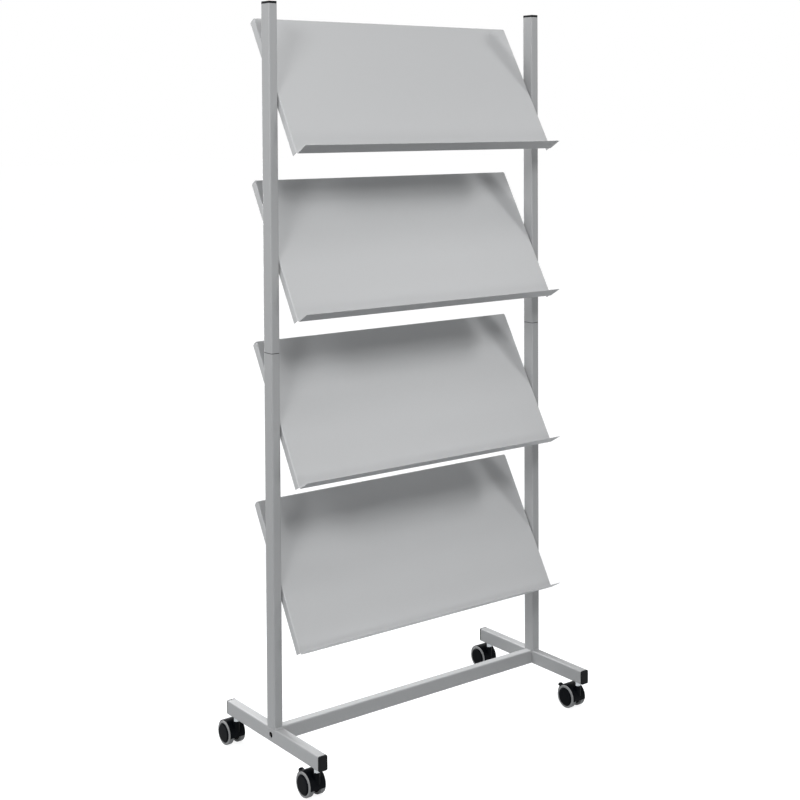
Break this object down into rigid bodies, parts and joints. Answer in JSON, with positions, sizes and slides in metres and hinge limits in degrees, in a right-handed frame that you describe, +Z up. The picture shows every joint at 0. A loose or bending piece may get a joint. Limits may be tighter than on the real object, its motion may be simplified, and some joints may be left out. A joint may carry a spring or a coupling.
{
  "type": "periodical display rack",
  "caption": "Free-standing tubular steel rack with leaning folded trays for leaflets, on swivel casters with pedal brakes at the front.",
  "frame": {"origin": "centre of the whole rack's footprint on the floor, casters trailing rearward", "axes": "+Z up, -Y towards the reader who faces the trays, +X to that reader's right"},
  "size_m": [0.7462, 0.374, 1.559],
  "materials": {
    "frame_paint": "satin silver-grey powder coat",
    "plain_steel": "plain, lightly oiled",
    "zinc_plate": "bright zinc plate",
    "cap_plastic": "moulded, fine matt",
    "caster_plastic": "moulded, satin",
    "wheel_plastic": "moulded, satin",
    "tread_rubber": "soft non-marking grey"
  },
  "bodies": {
    "rack": {"foot_left": "frame_paint", "foot_right": "frame_paint", "lower_post_left": "frame_paint", "lower_post_right": "frame_paint", "post_weld_beads": "frame_paint", "upper_post_left": "frame_paint", "upper_post_right": "frame_paint", "crossbar": "frame_paint", "shelf_bottom": "frame_paint", "shelf_lower": "frame_paint", "shelf_upper": "frame_paint", "shelf_top": "frame_paint", "post_sleeve_left": "plain_steel", "post_sleeve_right": "plain_steel", "crossbar_inserts": "plain_steel", "caster_nuts": "plain_steel", "sleeve_screws": "zinc_plate", "crossbar_bolts": "zinc_plate", "crossbar_washers": "zinc_plate", "shelf_screws": "zinc_plate", "shelf_washers": "zinc_plate", "shelf_rivet_nuts": "zinc_plate", "stem_rings": "zinc_plate", "post_cap_left": "cap_plastic", "post_cap_right": "cap_plastic", "foot_cap_front_left": "cap_plastic", "foot_cap_front_right": "cap_plastic", "foot_cap_rear_left": "cap_plastic", "foot_cap_rear_right": "cap_plastic", "caster_front_left_stem": "zinc_plate", "caster_front_right_stem": "zinc_plate", "caster_rear_left_stem": "zinc_plate", "caster_rear_right_stem": "zinc_plate"},
    "caster_front_left": {"caster_front_left_hood": "caster_plastic", "caster_front_left_axle": "plain_steel"},
    "caster_front_left_left_wheel": {"caster_front_left_wheel_left": "wheel_plastic", "caster_front_left_tread_left": "tread_rubber"},
    "caster_front_left_right_wheel": {"caster_front_left_wheel_right": "wheel_plastic", "caster_front_left_tread_right": "tread_rubber"},
    "caster_front_left_pedal": {"caster_front_left_brake": "caster_plastic"},
    "caster_front_right": {"caster_front_right_hood": "caster_plastic", "caster_front_right_axle": "plain_steel"},
    "caster_front_right_left_wheel": {"caster_front_right_wheel_left": "wheel_plastic", "caster_front_right_tread_left": "tread_rubber"},
    "caster_front_right_right_wheel": {"caster_front_right_wheel_right": "wheel_plastic", "caster_front_right_tread_right": "tread_rubber"},
    "caster_front_right_pedal": {"caster_front_right_brake": "caster_plastic"},
    "caster_rear_left": {"caster_rear_left_hood": "caster_plastic", "caster_rear_left_axle": "plain_steel"},
    "caster_rear_left_left_wheel": {"caster_rear_left_wheel_left": "wheel_plastic", "caster_rear_left_tread_left": "tread_rubber"},
    "caster_rear_left_right_wheel": {"caster_rear_left_wheel_right": "wheel_plastic", "caster_rear_left_tread_right": "tread_rubber"},
    "caster_rear_right": {"caster_rear_right_hood": "caster_plastic", "caster_rear_right_axle": "plain_steel"},
    "caster_rear_right_left_wheel": {"caster_rear_right_wheel_left": "wheel_plastic", "caster_rear_right_tread_left": "tread_rubber"},
    "caster_rear_right_right_wheel": {"caster_rear_right_wheel_right": "wheel_plastic", "caster_rear_right_tread_right": "tread_rubber"}
  },
  "joints": [
    {"name": "caster_front_left_swivel", "type": "hinge", "parent": "rack", "child": "caster_front_left", "pos_m": [-0.3515, -0.16404, 0.053], "axis": [0, 0, 1], "continuous": true},
    {"name": "caster_front_left_left_wheel_spin", "type": "hinge", "parent": "caster_front_left", "child": "caster_front_left_left_wheel", "pos_m": [-0.3515, -0.14304, 0.025], "axis": [1, 0, 0], "continuous": true},
    {"name": "caster_front_left_right_wheel_spin", "type": "hinge", "parent": "caster_front_left", "child": "caster_front_left_right_wheel", "pos_m": [-0.3515, -0.14304, 0.025], "axis": [1, 0, 0], "continuous": true},
    {"name": "caster_front_left_brake_press", "type": "hinge", "parent": "caster_front_left", "child": "caster_front_left_pedal", "pos_m": [-0.3515, -0.13083, 0.03955], "axis": [1, 0, 0], "range_deg": [0, 8]},
    {"name": "caster_front_right_swivel", "type": "hinge", "parent": "rack", "child": "caster_front_right", "pos_m": [0.3515, -0.16404, 0.053], "axis": [0, 0, 1], "continuous": true},
    {"name": "caster_front_right_left_wheel_spin", "type": "hinge", "parent": "caster_front_right", "child": "caster_front_right_left_wheel", "pos_m": [0.3515, -0.14304, 0.025], "axis": [1, 0, 0], "continuous": true},
    {"name": "caster_front_right_right_wheel_spin", "type": "hinge", "parent": "caster_front_right", "child": "caster_front_right_right_wheel", "pos_m": [0.3515, -0.14304, 0.025], "axis": [1, 0, 0], "continuous": true},
    {"name": "caster_front_right_brake_press", "type": "hinge", "parent": "caster_front_right", "child": "caster_front_right_pedal", "pos_m": [0.3515, -0.13083, 0.03955], "axis": [1, 0, 0], "range_deg": [0, 8]},
    {"name": "caster_rear_left_swivel", "type": "hinge", "parent": "rack", "child": "caster_rear_left", "pos_m": [-0.3515, 0.13996, 0.053], "axis": [0, 0, 1], "continuous": true},
    {"name": "caster_rear_left_left_wheel_spin", "type": "hinge", "parent": "caster_rear_left", "child": "caster_rear_left_left_wheel", "pos_m": [-0.3515, 0.16096, 0.025], "axis": [1, 0, 0], "continuous": true},
    {"name": "caster_rear_left_right_wheel_spin", "type": "hinge", "parent": "caster_rear_left", "child": "caster_rear_left_right_wheel", "pos_m": [-0.3515, 0.16096, 0.025], "axis": [1, 0, 0], "continuous": true},
    {"name": "caster_rear_right_swivel", "type": "hinge", "parent": "rack", "child": "caster_rear_right", "pos_m": [0.3515, 0.13996, 0.053], "axis": [0, 0, 1], "continuous": true},
    {"name": "caster_rear_right_left_wheel_spin", "type": "hinge", "parent": "caster_rear_right", "child": "caster_rear_right_left_wheel", "pos_m": [0.3515, 0.16096, 0.025], "axis": [1, 0, 0], "continuous": true},
    {"name": "caster_rear_right_right_wheel_spin", "type": "hinge", "parent": "caster_rear_right", "child": "caster_rear_right_right_wheel", "pos_m": [0.3515, 0.16096, 0.025], "axis": [1, 0, 0], "continuous": true}
  ]
}
